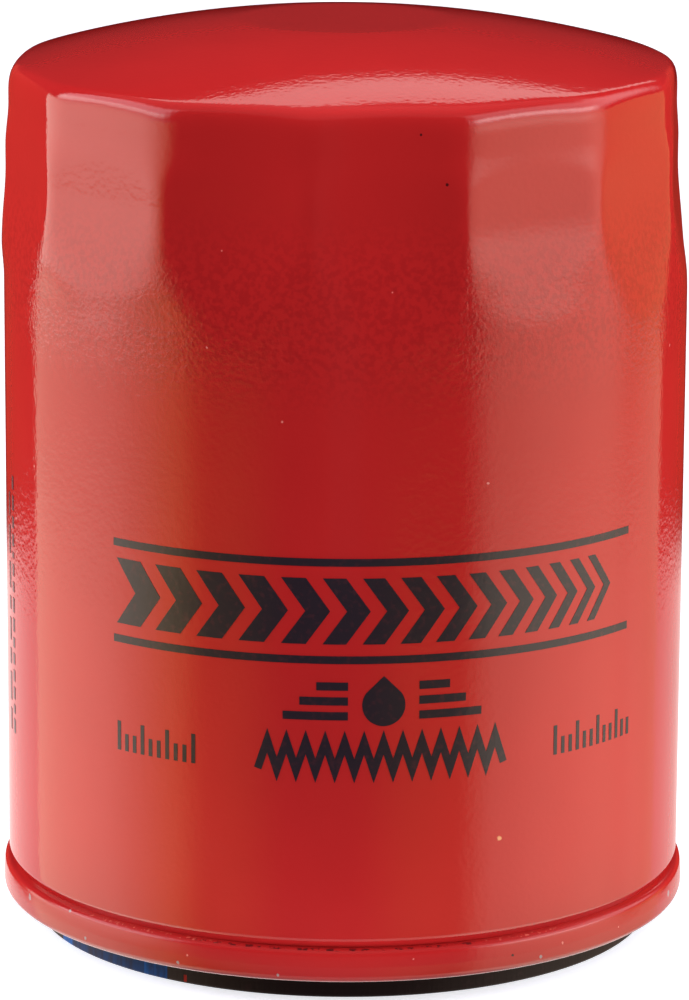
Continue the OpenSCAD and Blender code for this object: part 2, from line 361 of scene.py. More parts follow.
def paint_color(look):
    """Red enamel: faint clouds, specks and chips, dark speckles in the stretched band as painted shade,
    and in the crease painted shade in the paint's cracks and painted glints on its bead.
    """
    turn, height = look.angle(), look.split()[2]
    color = look.mix(look.noise(5 * MM, 3), PAINT_DEEP, PAINT_RED)
    # Dark speckles in the stretched band: painted shade of its rough surface
    grain = look.fade(look.noise(0.28 * MM, 3), 0.4, 0.62, 0.0, 0.8)
    stretched = look.band(height, 60 * MM, 74 * MM, 9 * MM)
    color = look.mix(look.math("MULTIPLY", grain, stretched), color, SPECKLE_SHADE_RED)
    ragged = look.math("MULTIPLY", look.math("SUBTRACT", look.noise(0.15 * MM, 2), 0.5), 0.3 * MM)
    for places, tint in MARKS:
        color = look.mix(look.spots(places, ragged), color, tint)
    crease = look.band(height, PIT_Z - PIT_HALF, PIT_Z + PIT_HALF, 0.08 * MM)
    # Near-black painted shade in the paint's cracks along the front of the crease
    crack_shade = look.fade(look.noise(0.3 * MM, 3), 0.5, 0.62)
    crack_shade = look.math("MULTIPLY", crack_shade, look.math("MULTIPLY", crease, look.band(turn, -24, 23, 6)))
    # Bright dashes at the crease's sides: painted glints on the paint's bead
    sides = look.math("ADD", look.band(turn, -48, -22, 8), look.band(turn, 24, 38, 6))
    crease_glints = look.fade(look.noise(0.22 * MM, 2), 0.55, 0.65, 0.0, 0.7)
    crease_glints = look.math("MULTIPLY", crease_glints, look.math("MULTIPLY", crease, sides))
    return look.mix(crease_glints, look.mix(crack_shade, color, (0.12, 0.009, 0.011)), (0.75, 0.16, 0.12))


def paint_bump(look):
    """Orange peel of the sprayed enamel over the slight waves of the drawn sheet."""
    waves = look.bump(look.noise(1.6 * MM, 1), 0.010 * MM)
    peel = look.bump(look.noise(0.28 * MM, 1), 0.012 * MM, after=waves)
    stretched = look.band(look.split()[2], 60 * MM, 73 * MM, 8 * MM)
    grain = look.math("MULTIPLY", look.noise(0.2 * MM, 2), stretched)
    return look.bump(grain, 0.03 * MM, after=peel)


def can_enamel():
    """Glossy red enamel, sprayed on after the can was drawn and pressed."""
    look = Look("can_enamel", PAINT_RED, 0.07)
    return look.use(Base_Color=paint_color(look), Normal=paint_bump(look))


def lid_finish():
    """Enamel on the seam's outside, overspray that thins out inwards, and bare zinc further in."""
    look = Look("lid_enamel_and_zinc", PAINT_RED, 0.16)
    ragged = look.math("MULTIPLY", look.math("SUBTRACT", look.noise(1.1 * MM, 4), 0.5), 2.4 * MM)
    bare = look.fade(look.math("ADD", look.radius(), ragged), 30.6 * MM, 31.7 * MM, 1.0, 0.0)
    spangle = look.mix(look.cells(3.5 * MM), (0.42, 0.44, 0.46), (0.66, 0.67, 0.68))
    color = look.mix(bare, paint_color(look), spangle)
    rough = look.fade(bare, 0.0, 1.0, 0.16, 0.38)
    return look.use(Base_Color=color, Metallic=bare, Roughness=rough, Normal=paint_bump(look))


def gasket_rubber():
    """Ground black rubber with an assembler's ink marks on its outer side."""
    look = Look("gasket_rubber", (0.017, 0.006, 0.009), 0.5, Specular_IOR_Level=0.15)
    streaks = look.noise(0.16 * MM, 3, stretch=(1, 1, 0.05))
    dust = look.fade(look.noise(0.5 * MM, 4), 0.55, 0.75)
    color = look.mix(dust, (0.013, 0.0045, 0.007), (0.024, 0.009, 0.013))
    turn, height = look.angle(), look.split()[2]
    bright = look.math("ADD", look.band(turn, -63.3, -59.4, 0.5), look.band(turn, -38.4, -33.2, 0.4))
    wash = look.band(turn, -59.4, -38.4, 0.6)
    worn = look.fade(look.noise(0.5 * MM, 4, stretch=(1, 1, 0.2)), 0.35, 0.6, 0.3, 1.0)
    color = look.mix(look.math("MULTIPLY", wash, worn), color, (0.012, 0.055, 0.2))
    color = look.mix(look.math("MULTIPLY", bright, worn), color, (0.02, 0.17, 0.62))
    tick = look.math("MULTIPLY", look.band(turn, -29.6, -29.0, 0.15),
                     look.band(height, 0.2 * MM, 0.9 * MM, 0.1 * MM))
    color = look.mix(tick, color, (0.6, 0.04, 0.03))
    return look.use(Base_Color=color, Normal=look.bump(streaks, 0.03 * MM))


def plate_steel():
    """Hot-rolled plate with a dull phosphate skin and the tool's rings."""
    look = Look("phosphated_plate", (0.2, 0.2, 0.2), 0.42, 0.85)
    stains = look.noise(3 * MM, 4)
    grain = look.noise(0.25 * MM, 3)
    color = look.mix(stains, (0.13, 0.13, 0.135), (0.30, 0.295, 0.285))
    rings = look.noise(0.2 * MM, 2, stretch=(0.05, 0.05, 1))
    normal = look.bump(rings, 0.01 * MM, after=look.bump(grain, 0.012 * MM))
    return look.use(Base_Color=color, Roughness=look.fade(stains, 0.3, 0.7, 0.33, 0.52), Normal=normal)


def cap_steel():
    """Galvanised sheet with the zinc's spangle."""
    look = Look("galvanised_cap", (0.55, 0.56, 0.57), 0.34, 0.95)
    spangle = look.mix(look.cells(4 * MM), (0.45, 0.46, 0.48), (0.68, 0.69, 0.70))
    rough = look.fade(look.noise(2 * MM, 3), 0.3, 0.7, 0.26, 0.42)
    normal = look.bump(look.noise(0.6 * MM, 3), 0.006 * MM)
    return look.use(Base_Color=spangle, Roughness=rough, Normal=normal)


def tube_steel():
    """Tinplate with drawing lines along its length."""
    look = Look("tinplate", (0.6, 0.6, 0.58), 0.27, 0.95)
    lines = look.noise(0.12 * MM, 2, stretch=(1, 1, 0.02))
    tint = look.mix(look.noise(4 * MM, 3), (0.5, 0.5, 0.49), (0.7, 0.69, 0.66))
    return look.use(Base_Color=tint, Normal=look.bump(lines, 0.006 * MM))


def filter_paper():
    """Resin-treated cellulose: fibres along the sheet and fine pores."""
    look = Look("filter_paper", (0.66, 0.5, 0.27), 0.86, Specular_IOR_Level=0.2)
    fibres = look.noise(0.3 * MM, 5, stretch=(1, 1, 0.25), rough=0.7)
    patches = look.noise(6 * MM, 2)
    color = look.mix(fibres, (0.55, 0.38, 0.17), (0.78, 0.62, 0.38))
    color = look.mix(look.fade(patches, 0.35, 0.7, 0.0, 0.35), color, (0.6, 0.4, 0.2))
    return look.use(Base_Color=color, Normal=look.bump(fibres, 0.05 * MM))


def potting():
    """Plastisol that was poured into the cap and cured, with a wavy skin."""
    look = Look("potting", (0.10, 0.075, 0.06), 0.38)
    skin = look.noise(1.5 * MM, 3)
    color = look.mix(skin, (0.075, 0.055, 0.045), (0.14, 0.10, 0.075))
    return look.use(Base_Color=color, Normal=look.bump(skin, 0.06 * MM))


def valve_rubber():
    """Nitrile rubber with a matt moulded skin and a trace of talc."""
    look = Look("nitrile_rubber", (0.16, 0.045, 0.02), 0.5, Specular_IOR_Level=0.4)
    talc = look.fade(look.noise(0.9 * MM, 4), 0.52, 0.8, 0.0, 0.4)
    color = look.mix(look.noise(3 * MM, 2), (0.13, 0.035, 0.016), (0.2, 0.06, 0.028))
    color = look.mix(talc, color, (0.36, 0.26, 0.2))
    return look.use(Base_Color=color, Normal=look.bump(look.noise(0.2 * MM, 2), 0.01 * MM))


def spring_steel():
    """Drawn wire with fine lines along it."""
    look = Look("drawn_wire", (0.33, 0.32, 0.31), 0.3, 0.95)
    lines = look.noise(0.15 * MM, 3, stretch=(0.2, 0.2, 3))
    color = look.mix(look.noise(2 * MM, 3), (0.22, 0.21, 0.2), (0.44, 0.43, 0.41))
    return look.use(Base_Color=color, Normal=look.bump(lines, 0.008 * MM))


def seam_compound():
    """Dull sealing compound in the seam's fold."""
    look = Look("seam_compound", (0.08, 0.08, 0.08), 0.6)
    lumps = look.noise(0.8 * MM, 3)
    color = look.mix(lumps, (0.05, 0.05, 0.05), (0.12, 0.12, 0.12))
    return look.use(Base_Color=color, Normal=look.bump(lumps, 0.05 * MM))


# ---------------------------------------------------------------- can and seam

def soft_min(a, b, reach):
    """The smaller of two lengths, rounded off where they are closer than reach."""
    near = max(reach - abs(a - b), 0) / reach
    return min(a, b) - near * near * reach / 4


def flat_distance(z):
    """Distance of a flat's plane from the axis. It leans out below its full depth."""
    lean = (CAN_R - FLAT_R) / (FLAT_FULL_Z - FLAT_START_Z)
    below = FLAT_FULL_Z - z
    if abs(below) < FLAT_BEND:
        return FLAT_R + lean * (below + FLAT_BEND) ** 2 / (4 * FLAT_BEND)
    return FLAT_R + max(below, 0) * lean


def with_flats(inset):
    """Shape function that presses the flats into a turned outline, with soft edges and softer tops."""
    pitch = 2 * math.pi / FLATS

    def shape(r, z, theta):
        if z < FLAT_START_Z - 8 * MM:
            return r, z
        turn = (theta - FLAT_TURN + pitch / 2) % pitch - pitch / 2
        plane = (flat_distance(z) - inset) / math.cos(turn)
        beside = (flat_distance(z) - inset) / math.cos(pitch - abs(turn))
        top = smoothstep(z, 78 * MM, 82.5 * MM)
        flats = soft_min(plane, beside, FLAT_EDGE + 0.45 * MM * top)
        return soft_min(r, flats, FLAT_EDGE + (FLAT_LIP - FLAT_EDGE) * top), z

    return shape


def can_outline(inset, bottom_z):
    """From the crown down over dome, shoulder and wall."""
    shoulder = DOME_Z + math.sqrt((DOME_R - SHOULDER_R) ** 2 - (CAN_R - SHOULDER_R) ** 2)
    meet = math.degrees(math.acos((CAN_R - SHOULDER_R) / (DOME_R - SHOULDER_R)))
    dome = [(r, soft_min(z, CROWN_Z - inset, 0.06 * MM))
            for r, z in arc(0, DOME_Z, DOME_R - inset, 90, meet, 60)]
    turn = arc(CAN_R - SHOULDER_R, shoulder, SHOULDER_R - inset, meet, 0, 18)
    fine, coarse = 0.6 * MM, 2.5 * MM
    wall = []
    z = shoulder - fine
    while z > bottom_z:
        wall.append((CAN_R - inset, z))
        z -= fine if z > FLAT_START_Z - 5 * MM else coarse
    return [(0.0, dome[0][1])] + dome[1:] + turn[1:] + wall


def can_hook():
    """The wall's edge: creased in above the seam, down inside it, and hooked out and up."""
    wall = SEAM_R - 3 * LAYER
    hook = SEAM_R - LAYER
    flange = SEAM_Z + LAYER
    top = SEAM_TOP - SHEET - 0.3 * MM
    neck = SEAM_TOP + 0.1 * MM
    inner = CREASE_Z + 0.7 * SHEET
    return rounded([
        (CAN_R, CREASE_Z + 1.9 * MM, 0), (CAN_R, CREASE_Z + 0.1 * MM, 0.9 * MM),
        (NECK_R, SEAM_TOP - 0.05 * MM, 0.12 * MM), (wall, SEAM_TOP - 0.1 * MM, 0.1 * MM),
        (wall, flange + SHEET, 0.05 * MM), (hook - SHEET, flange + SHEET, 0.05 * MM),
        (hook - SHEET, top, 0.05 * MM), (hook, top, 0.05 * MM), (hook, flange, 0.3 * MM),
        (wall - SHEET, flange, 0.3 * MM), (wall - SHEET, neck + 0.7 * SHEET, 0.25 * MM),
        (CAN_R - SHEET, inner, 0.3 * MM), (CAN_R - SHEET, inner + 1.4 * MM, 0)])


def can_skin():
    """The drawn can as one closed sheet: outside, hooked edge and inside, from crown to crown."""
    around = FLATS * 28
    outside = can_outline(0.0, CREASE_Z + 2 * MM)
    inside = can_outline(SHEET, CREASE_Z + 2 * MM)
    outer_flats, inner_flats = with_flats(0.0), with_flats(SHEET)
    hook = can_hook()
    shaped = outside + hook + inside[::-1]
    last_outer = len(outside) + len(hook) // 2
    points, faces, n = [], [], len(shaped)
    for i in range(around):
        theta = 2 * math.pi * i / around
        for k, (r, z) in enumerate(shaped):
            press = outer_flats if k < last_outer else inner_flats
            r, z = press(r, z, theta) if r > 0 else (r, z)
            off = PRESS_OFF * smoothstep(z, 65 * MM, 69 * MM)
            points.append((r * math.sin(theta) + off, -r * math.cos(theta), z))
    for i in range(around):
        a, b = i * n, (i + 1) % around * n
        faces += [(a + k, a + k + 1, b + k + 1, b + k) for k in range(n - 1)]
    piece = mesh_piece("can_skin", points, faces, sharp=50)
    dress(piece, can_enamel())
    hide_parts("can_shell")
    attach(piece, "can")


def sheet_section(path, thickness=SHEET, steps=6):
    """Closed outline of a bent sheet from its centre line of (r, z, bend radius) points."""
    line = []
    for i, (r, z, bend) in enumerate(path):
        if bend <= 0 or i in (0, len(path) - 1):
            line.append(Vector((r, z)))
            continue
        corner = [(*path[i - 1][:2], 0), (r, z, bend), (*path[i + 1][:2], 0)]
        line += [Vector(p) for p in rounded(corner, steps)[1:-1]]
    left, right = [], []
    for i, p in enumerate(line):
        ahead = (line[min(i + 1, len(line) - 1)] - line[max(i - 1, 0)]).normalized()
        side = Vector((-ahead.y, ahead.x)) * thickness / 2
        left.append(tuple(p + side))
        right.append(tuple(p - side))
    return left + right[::-1]


def seam_lid():
    """The stamped lid: double seam outside, gasket groove, retaining ridge and welded land."""
    half = SHEET / 2
    hook = SEAM_R - 2 * LAYER - half
    inner = SEAM_R - 4 * LAYER - half
    outer = SEAM_R - half
    ridge_out, ridge_in = 27.25 * MM, 26.15 * MM
    under, ridge = SEAM_Z + half, 3.05 * MM
    land = PLATE_Z - half
    roll = SEAM_TOP - half - 0.02 * MM
    path = [(hook, SEAM_Z + LAYER + SHEET + 0.1 * MM, 0), (hook, roll, 0.35 * MM),
            (NECK_R, roll, 0.3 * MM), (outer - 0.08 * MM, SEAM_TOP - 0.42 * MM, 0.75 * MM),
            (outer, 4.1 * MM, 1.5 * MM), (outer, under, 0.5 * MM), (inner, under, 0.5 * MM),
            (inner, land, 0.4 * MM), (ridge_out, land, 0.4 * MM), (ridge_out, ridge, 0.4 * MM),
            (ridge_in, ridge, 0.4 * MM), (ridge_in, land, 0.4 * MM), (23.6 * MM, land, 0)]
    welds = [2 * math.pi * (i + 0.5) / WELDS for i in range(WELDS)]

    def weld_dimples(r, z, theta):
        away = min(abs((theta - w + math.pi) % (2 * math.pi) - math.pi) for w in welds)
        spot = math.hypot(r - WELD_CIRCLE_R, WELD_CIRCLE_R * away)
        if r < ridge_in and z < land and spot < WELD_R:
            z += 0.16 * MM * smoothstep(WELD_R - spot, 0, 0.7 * MM)
        return r, z

    piece = lathe("seam_lid", sheet_section(path), 384, weld_dimples, sharp=40)
    dress(piece, lid_finish())
    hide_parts("seaming_lid")
    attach(piece, "can")


def gasket():
    """Rubber ring with rounded edges."""
    edge = 0.3 * MM
    outline = rounded([(GASKET_R, 0, edge), (GASKET_R, GASKET_TOP, edge),
                       (GASKET_IN_R, GASKET_TOP, edge), (GASKET_IN_R, 0, edge)], 6)
    piece = lathe("gasket_ring", outline, 320)
    dress(piece, gasket_rubber())
    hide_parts("base_gasket")
    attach(piece, "can")


def thread_plate():
    """Plate with inlet holes, and a boss with a real M20 x 1.5 thread cut in it."""
    pitch, minor, depth, chamfer = 1.5 * MM, 9.19 * MM, 0.8 * MM, 0.8 * MM
    plate_top = PLATE_Z + 3.2 * MM
    crest, flank = 0.25, 0.625  # shares of half a pitch

    def thread(r, z, theta):
        if r > minor + 0.3 * MM:
            return r, z
        turn = (z / pitch - theta / (2 * math.pi)) % 1
        cut = min(max((1 - abs(2 * turn - 1) - crest) / flank, 0), 1)
        end = min(z - PLATE_Z, BOSS_TOP - z)
        return max(minor + depth * cut, minor + chamfer - end), z

    steps = round((BOSS_TOP - PLATE_Z) / (pitch / 12))
    bore = [(minor, PLATE_Z + (BOSS_TOP - PLATE_Z) * i / steps) for i in range(steps + 1)]
    outside = rounded([(BOSS_R, BOSS_TOP, 0.4 * MM), (BOSS_R, plate_top, 0.5 * MM),
                       (PLATE_R, plate_top, 0.3 * MM), (PLATE_R, PLATE_Z, 0.3 * MM)], 4)
    piece = lathe("threaded_plate", bore + outside, 168, thread, sharp=28)
    cutters = bmesh.new()
    for i in range(INLETS):
        turn = Matrix.Rotation(2 * math.pi * i / INLETS, 4, "Z")
        place = turn @ Matrix.Translation((INLET_CIRCLE_R, 0, PLATE_Z + 1.6 * MM))
        bmesh.ops.create_cone(cutters, cap_ends=True, segments=48, radius1=INLET_R, radius2=INLET_R,
                              depth=8 * MM, matrix=place)
    mesh = bpy.data.meshes.new("cutters")
    cutters.to_mesh(mesh)
    cutters.free()
    tool = bpy.data.objects.new("cutters", mesh)
    bpy.context.scene.collection.objects.link(tool)
    cut = piece.modifiers.new("inlets", "BOOLEAN")
    cut.object, cut.operation, cut.solver = tool, "DIFFERENCE", "EXACT"
    depsgraph = bpy.context.evaluated_depsgraph_get()
    made = bpy.data.meshes.new_from_object(piece.evaluated_get(depsgraph))
    piece.modifiers.clear()
    piece.data = made
    bpy.data.objects.remove(tool)
    made.shade_smooth()
    made.set_sharp_from_angle(angle=math.radians(28))
    dress(piece, plate_steel())
    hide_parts("thread_plate")
    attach(piece, "can")


# ---------------------------------------------------------------- inside the can

def drainback_valve():
    """One moulded rubber valve in two pieces: its fixed hub, and the skirt whose lip lifts."""
    spigot_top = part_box("drainback_hub")[1].z
    hub_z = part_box("drainback_hub")[0].z
    spigot_r, bore_r = 10.9 * MM, 10.4 * MM
    hub = rounded([(HUB_R, hub_z, 0.2 * MM), (HUB_R, ELEMENT_Z, 0.25 * MM),
                   (spigot_r, ELEMENT_Z, 0.05 * MM), (spigot_r, spigot_top, 0.2 * MM),
                   (bore_r, spigot_top, 0.2 * MM), (bore_r, BOSS_TOP, 0.2 * MM),
                   (BOSS_R, BOSS_TOP, 0), (BOSS_R, hub_z, 0.1 * MM)], 4)
    fixed = lathe("drainback_hub_rubber", hub, 160)
    root_r, root_z = HUB_R + 0.02 * MM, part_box("drainback_skirt")[1].z
    flare = [(root_r, root_z - 0.45 * MM, 0), (16.6 * MM, root_z - 0.95 * MM, 0.8 * MM),
             (19.5 * MM, root_z - 2.35 * MM, 2 * MM), (23.2 * MM, LIP_Z + 0.45 * MM, 1.5 * MM),
             (LIP_R - 0.05 * MM, LIP_Z + 0.35 * MM, 0)]
    skirt = lathe("drainback_skirt_rubber", sheet_section(flare, 0.7 * MM, 5), 160)
    for piece, node in ((fixed, "drainback_hub"), (skirt, "drainback_skirt")):
        dress(piece, valve_rubber())
        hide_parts(node)
    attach(fixed, "can")
    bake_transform(skirt)


def pleat_path():
    """Centre line of the pleated paper seen from above, as (radius, angle), with round folds."""
    half = math.pi / PLEATS
    path = []
    for i in range(PLEATS):
        middle = (2 * i + 1) * half
        sway = RNG.uniform(-0.08, 0.08) * half
        for fold_r, turn, width, outward in ((PLEAT_IN_R, middle - half, 0.5 * PAPER, -1),
                                             (MEDIA_R, middle + sway, 0.55 * MM, 1)):
            centre = fold_r - outward * (width + PAPER / 2)
            for k in range(7):
                a = math.pi * (k / 6 - 0.5)
                r = centre + outward * width * math.cos(a)
                path.append((r, turn + width * math.sin(a) / centre))
    return path


def pleated_paper():
    """The folded paper as one closed sheet round the tube."""
    line = [Vector((r * math.sin(a), -r * math.cos(a), 0)) for r, a in pleat_path()]
    n, rows = len(line), 14
    sides = []
    for i, p in enumerate(line):
        ahead = (line[(i + 1) % n] - line[i - 1]).normalized()
        sides.append(Vector((-ahead.y, ahead.x, 0)) * PAPER / 2)
    points, faces = [], []
    for row in range(rows + 1):
        z = MEDIA_Z + (MEDIA_TOP - MEDIA_Z) * row / rows
        points += [p + s + Vector((0, 0, z)) for p, s in zip(line, sides)]
        points += [p - s + Vector((0, 0, z)) for p, s in zip(line, sides)]
    for i in range(n):
        j = (i + 1) % n
        for row in range(rows):
            a, b = 2 * n * row, 2 * n * (row + 1)
            faces.append((a + i, a + j, b + j, b + i))
            faces.append((a + n + i, a + n + j, b + n + j, b + n + i))
        top = 2 * n * rows
        faces.append((i, j, n + j, n + i))
        faces.append((top + i, top + j, top + n + j, top + n + i))
    piece = mesh_piece("pleated_paper", points, faces, sharp=45)
    dress(piece, filter_paper())
    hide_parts("pleated_media")
    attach(piece, "can")


def coil(turns, wire, bottom, top, r_bottom, r_top):
    """Path of a compression spring whose end turns lie closed against their seats."""
    low, high = bottom + wire / 2, top - wire / 2
    closed, close_pitch = 0.9, 1.02 * wire
    count = round(turns * 36)
    path = []
    for i in range(count + 1):
        turn = turns * i / count
        share = min(max((turn - closed) / (turns - 2 * closed), 0), 1)
        z = low + close_pitch * min(turn, closed) + (high - low - 2 * close_pitch * closed) * share
        z += close_pitch * max(turn - (turns - closed), 0)
        r = r_bottom + (r_top - r_bottom) * share
        a = 2 * math.pi * turn
        path.append((r * math.sin(a), -r * math.cos(a), z))
    return path


def springs():
    """The bypass spring, which shortens with its valve, and the element spring under the dome."""
    wire = 1 * MM
    low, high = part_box("bypass_spring")
    mean = high.x - wire / 2
    path = coil(5.5, wire, low.z, high.z, mean, mean)
    small = mesh_piece("bypass_coil", *wire_along(path, wire / 2))
    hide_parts("bypass_spring")
    wire = 2 * MM
    foot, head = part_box("element_spring")
    path = coil(3.25, wire, foot.z, head.z, head.x - wire / 2, 12 * MM)
    large = mesh_piece("element_coil", *wire_along(path, wire / 2, 18))
    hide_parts("element_spring")
    for piece in (small, large):
        dress(piece, spring_steel())
    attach(large, "can")
    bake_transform(small)


def dress_cad_nodes():
    """Better materials for the CAD nodes whose shape is kept."""
    cap, tube, rubber, glue = cap_steel(), tube_steel(), valve_rubber(), potting()
    for node, material in (
            ("base_end_cap", cap), ("top_end_cap", cap), ("bypass_seat", cap), ("bypass_cage", cap),
            ("bypass_poppet", cap), ("bypass_stem", plate_steel()), ("bypass_seal", rubber),
            ("center_tube", tube), ("media_seam_clip", tube), ("bottom_adhesive", glue),
            ("top_adhesive", glue), ("seam_compound", seam_compound())):
        dress(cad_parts[node], material)


# ---------------------------------------------------------------- printing

INK_LOW, INK_HIGH = CAN_R - 0.05 * MM, CAN_R + 0.03 * MM  # the film starts just under the paint


class Print:
    """Flat shapes on the unrolled wall, wrapped round it as a thin raised film of ink."""

    def __init__(self):
        self.flat = bmesh.new()

    def shape(self, outline):
        """A closed outline of (distance round the wall, height) points in metres."""
        self.flat.faces.new([self.flat.verts.new((s, z, 0)) for s, z in outline])

    def bar(self, s0, z0, s1, z1):
        """An upright rectangle between two corners."""
        self.shape([(s0, z0), (s1, z0), (s1, z1), (s0, z1)])

    def stroke(self, points, width):
        """A line of constant width through the points, with mitred corners."""
        left, right = [], []
        for i, p in enumerate(points):
            here = Vector(p)
            before = (here - Vector(points[i - 1])).normalized() if i else None
            after = (Vector(points[i + 1]) - here).normalized() if i < len(points) - 1 else None
            before, after = before or after, after or before
            side = Vector((-(before + after).y, (before + after).x)).normalized()
            reach = width / 2 / max(side.dot(Vector((-before.y, before.x))), 0.3)
            left.append(tuple(here + side * reach))
            right.append(tuple(here - side * reach))
        for i in range(len(points) - 1):
            self.shape([left[i], left[i + 1], right[i + 1], right[i]])

    def piece(self, name, material):
        """Cuts the shapes into narrow strips, thickens them and wraps them round the wall."""
        flat = self.flat
        bmesh.ops.triangulate(flat, faces=flat.faces, ngon_method="EAR_CLIP")
        spans = [v.co.x for v in flat.verts]
        step = 0.6 * MM
        for k in range(math.ceil(min(spans) / step), math.floor(max(spans) / step) + 1):
            every = flat.verts[:] + flat.edges[:] + flat.faces[:]
            bmesh.ops.bisect_plane(flat, geom=every, plane_co=(k * step, 0, 0), plane_no=(1, 0, 0))
        raised = bmesh.ops.extrude_face_region(flat, geom=flat.faces[:])["geom"]
        top = {v for v in raised if isinstance(v, bmesh.types.BMVert)}
        for v in flat.verts:
            s, z = v.co.x, v.co.y
            r = INK_HIGH if v in top else INK_LOW
            v.co = (r * math.sin(s / CAN_R), -r * math.cos(s / CAN_R), z)
        bmesh.ops.recalc_face_normals(flat, faces=flat.faces)
        mesh = bpy.data.meshes.new(name)
        flat.to_mesh(mesh)
        flat.free()
        mesh.shade_smooth()
        mesh.set_sharp_from_angle(angle=math.radians(40))
        piece = bpy.data.objects.new(name, mesh)
        bpy.context.scene.collection.objects.link(piece)
        return dress(piece, material)


def round_wall(degrees):
    """Distance round the wall of an angle from the front."""
    return math.radians(degrees) * CAN_R


def flow_band(ink, start, end, low, high):
    """Two rules with chevrons between them that narrow and close up, as flow in a filter does."""
    rule, margin = 0.75 * MM, 1.9 * MM
    ink.bar(start, high - rule, end, high)
    ink.bar(start, low, end, low + rule)
    top, bottom = high - margin, low + margin
    middle, reach = (top + bottom) / 2, 2.3 * MM
    s, count = start + 0.4 * MM, 15
    for i in range(count):
        share = i / (count - 1)
        width = (2.9 - 1.9 * share) * MM
        tip = s + reach
        ink.shape([(s, top), (s + width, top), (tip + width, middle), (tip, middle)])
        ink.shape([(tip, middle), (tip + width, middle), (s + width, bottom), (s, bottom)])
        s += width + (1.75 - 0.55 * share) * MM


def oil_drop(ink, s, z, size):
    """A solid drop with its point up."""
    belly = 0.42 * size
    ink.shape(arc(s, z + belly, belly, -215, 35, 32) + [(s, z + size)])


def pleat_line(ink, start, end, low, high, folds, width):
    """A zigzag as a pleat's edge makes."""
    points = []
    for k in range(2 * folds + 1):
        points.append((start + (end - start) * k / (2 * folds), high if k % 2 else low))
    ink.stroke(points, width)


def front_print():
    """Generic marks on the can's front: a flow band, an oil drop with bars, a pleat line and ticks."""
    ink = Print()
    flow_band(ink, round_wall(-40.5), round_wall(54), 34 * MM, 44.2 * MM)
    centre = round_wall(6.5)
    oil_drop(ink, centre, 27.9 * MM, 4.9 * MM)
    for side in (-1, 1):
        for k, length in enumerate((6.2, 4.6, 3.0)):
            near = centre + side * 3.4 * MM
            far = near + side * length * MM
            z = (28.5 + 1.45 * k) * MM
            ink.bar(min(near, far), z, max(near, far), z + 0.8 * MM)
    pleat_line(ink, centre - 12 * MM, centre + 12 * MM, 23.5 * MM, 26.3 * MM, 13, 0.75 * MM)
    for start, count in ((-39.8, 10), (36.6, 12)):
        for k in range(count):
            s = round_wall(start) + 0.95 * MM * k
            tall = 2.9 if k % 3 == 0 else 1.7
            ink.bar(s, 23.3 * MM, s + 0.42 * MM, (23.3 + tall) * MM)
    piece = ink.piece("front_print", ink_black("front_ink"))
    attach(piece, "can")


def side_print():
    """Dashed upright rules on the can's left side."""
    ink = Print()
    for degrees, dash, gap in ((-78.5, 2.4, 0.9), (-75.4, 1.1, 0.6)):
        z = 20 * MM
        while z < 45 * MM:
            long = dash * RNG.uniform(0.5, 1.4) * MM
            ink.bar(round_wall(degrees), z, round_wall(degrees) + 0.75 * MM, z + long)
            z += long + gap * MM
    piece = ink.piece("side_print", ink_black("side_ink"))
    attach(piece, "can")


# ---------------------------------------------------------------- stage, light and camera

def glow(sky, turn, rise, across, up, level, tint):
    """Radiance of one soft light: it spans two angles across, with a soft edge each, and two up."""
    low, high, soft_low, soft_high = across
    spread = sky.math("MULTIPLY", sky.fade(turn, low - soft_low / 2, low + soft_low / 2),
                      sky.fade(turn, high - soft_high / 2, high + soft_high / 2, 1.0, 0.0))
    amount = sky.math("MULTIPLY", spread, sky.math("MULTIPLY", sky.band(rise, *up), level))
    scaled = sky.node("ShaderNodeVectorMath", operation="SCALE")
    scaled.inputs[0].default_value = tint
    sky.put(scaled.inputs["Scale"], amount)
    return scaled.outputs[0]


